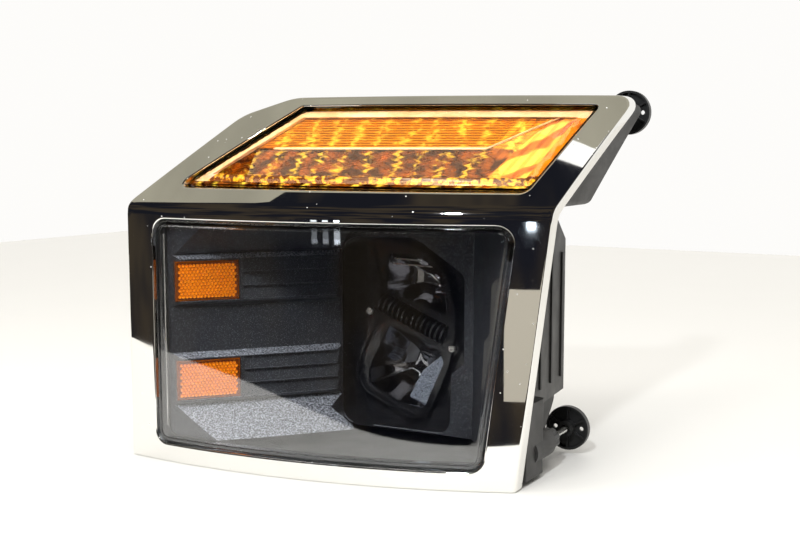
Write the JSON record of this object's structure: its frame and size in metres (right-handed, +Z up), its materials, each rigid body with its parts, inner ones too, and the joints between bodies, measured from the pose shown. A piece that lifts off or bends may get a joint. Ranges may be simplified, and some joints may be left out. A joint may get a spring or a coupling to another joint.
{
  "type": "car headlight assembly",
  "caption": "Wrap-around headlight with chromed bezel, LED twin-reflector module behind a clear lens, amber turn signal above, and screw adjusters with swivel mounting discs.",
  "frame": {"origin": "on the flat underside of the housing's front foot, at floor height, below the lamp bucket", "axes": "+X to the outer side of the vehicle, +Y to the rear of the vehicle, +Z up; the lamp shines along -Y"},
  "size_m": [0.4428, 0.3034, 0.3695],
  "materials": {
    "chrome_bezel": "bright chrome plate on plastic",
    "clear_lens": "clear polycarbonate, hard-coated",
    "amber_lens": "amber acrylic, finely ribbed",
    "seal": "matt",
    "housing_black": "fine grained polypropylene",
    "trim_black": "satin moulded, slightly speckled",
    "amber_reflex": "prismatic retroreflector",
    "gloss_black": "piano gloss",
    "reflector_silver": "vacuum-metallised",
    "aluminium": "satin die-cast",
    "sink_black": "black anodised",
    "board": "satin solder mask",
    "led": "phosphor dome",
    "screw_steel": "zinc plated",
    "bracket_steel": "zinc plated pressed sheet",
    "connector_grey": "satin glass-filled nylon",
    "pin_brass": "bright",
    "amber_optic": "ribbed amber optic",
    "nut_black": "satin nylon",
    "stud_zinc": "zinc plated, rolled thread",
    "disc_black": "glass-filled nylon"
  },
  "bodies": {
    "lamp": {"outer_bezel": "chrome_bezel", "main_lens": "clear_lens", "turn_lens": "amber_lens", "main_lens_seal": "seal", "turn_lens_seal": "seal", "main_housing": "housing_black", "turn_housing": "housing_black", "saddle_screws": "screw_steel", "trim_panel": "trim_black", "reflex_upper": "amber_reflex", "reflex_lower": "amber_reflex", "lamp_bucket": "gloss_black", "module_frame": "gloss_black", "low_beam_reflector": "reflector_silver", "high_beam_reflector": "reflector_silver", "heat_sink": "sink_black", "low_beam_board": "board", "high_beam_board": "board", "low_beam_leds": "led", "high_beam_leds": "led", "module_screws": "screw_steel", "module_bracket": "bracket_steel", "bracket_screws": "screw_steel", "rear_heat_sink": "aluminium", "led_driver": "aluminium", "rear_cover": "housing_black", "rear_cover_seal": "seal", "rear_cover_screws": "screw_steel", "connector_socket": "connector_grey", "connector_pins": "pin_brass", "breather_caps": "seal", "turn_inner_lens": "amber_optic", "turn_reflector": "reflector_silver", "turn_led_board": "board", "turn_leds": "led", "pivot_stud": "stud_zinc"},
    "lower_nut": {"lower_nut": "nut_black"},
    "lower_stud": {"lower_stud": "stud_zinc"},
    "lower_disc": {"lower_disc": "disc_black"},
    "upper_nut": {"upper_nut": "nut_black"},
    "upper_stud": {"upper_stud": "stud_zinc"},
    "upper_disc": {"upper_disc": "disc_black"},
    "pivot_disc": {"pivot_disc": "disc_black"}
  },
  "joints": [
    {"name": "lower_stud_slide", "type": "slide", "parent": "lamp", "child": "lower_stud", "axis": [0, 1, 0], "range_m": [-0.006, 0.006]},
    {"name": "lower_nut_turn", "type": "hinge", "parent": "lamp", "child": "lower_nut", "pos_m": [0.193, 0.012, 0.027], "axis": [0, 1, 0], "range_deg": [-2160, 2160]},
    {"name": "lower_disc_swivel", "type": "hinge", "parent": "lower_stud", "child": "lower_disc", "pos_m": [0.193, 0.075, 0.027], "axis": [1, 0, 0], "range_deg": [-12, 12]},
    {"name": "upper_stud_slide", "type": "slide", "parent": "lamp", "child": "upper_stud", "axis": [0, 1, 0], "range_m": [-0.006, 0.006]},
    {"name": "upper_nut_turn", "type": "hinge", "parent": "lamp", "child": "upper_nut", "pos_m": [0.226, 0.116, 0.347], "axis": [0, 1, 0], "range_deg": [-2160, 2160]},
    {"name": "upper_disc_swivel", "type": "hinge", "parent": "upper_stud", "child": "upper_disc", "pos_m": [0.226, 0.148, 0.347], "axis": [1, 0, 0], "range_deg": [-12, 12]},
    {"name": "pivot_disc_swivel", "type": "hinge", "parent": "lamp", "child": "pivot_disc", "pos_m": [-0.14, 0.024, 0.062], "axis": [1, 0, 0], "range_deg": [-12, 12]}
  ],
  "couplings": [
    {"joint": "lower_nut_turn", "follows": "lower_stud_slide", "rad_per_m": -6283},
    {"joint": "upper_nut_turn", "follows": "upper_stud_slide", "rad_per_m": -6283}
  ]
}
